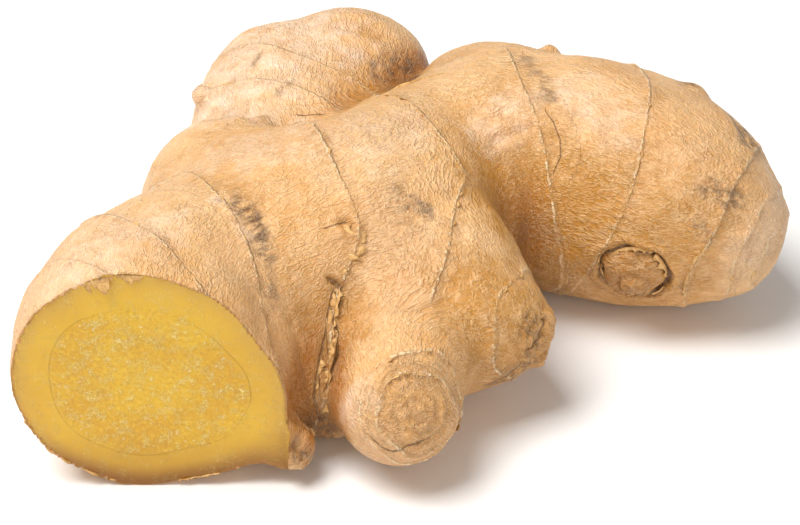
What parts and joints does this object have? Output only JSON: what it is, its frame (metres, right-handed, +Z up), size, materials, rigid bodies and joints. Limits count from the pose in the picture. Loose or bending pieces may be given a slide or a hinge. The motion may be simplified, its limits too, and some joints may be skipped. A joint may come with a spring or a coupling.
{
  "type": "ginger root",
  "caption": "Knobbly ginger rhizome with thick ringed fingers, a round bud knob, small dried shoots and one finger sliced flat; it rests on low spots of its underside.",
  "frame": {"origin": "centre of the footprint box on the table", "axes": "+X along the longest way, from the sliced finger to the end of the opposite finger; +Y to the back, away from the sliced face; +Z up"},
  "size_m": [0.1194, 0.1031, 0.0405],
  "materials": {
    "skin": "dry papery tan skin with fine wrinkles and a soft sheen"
  },
  "bodies": {
    "root": {"ginger_root": "skin"}
  },
  "joints": []
}
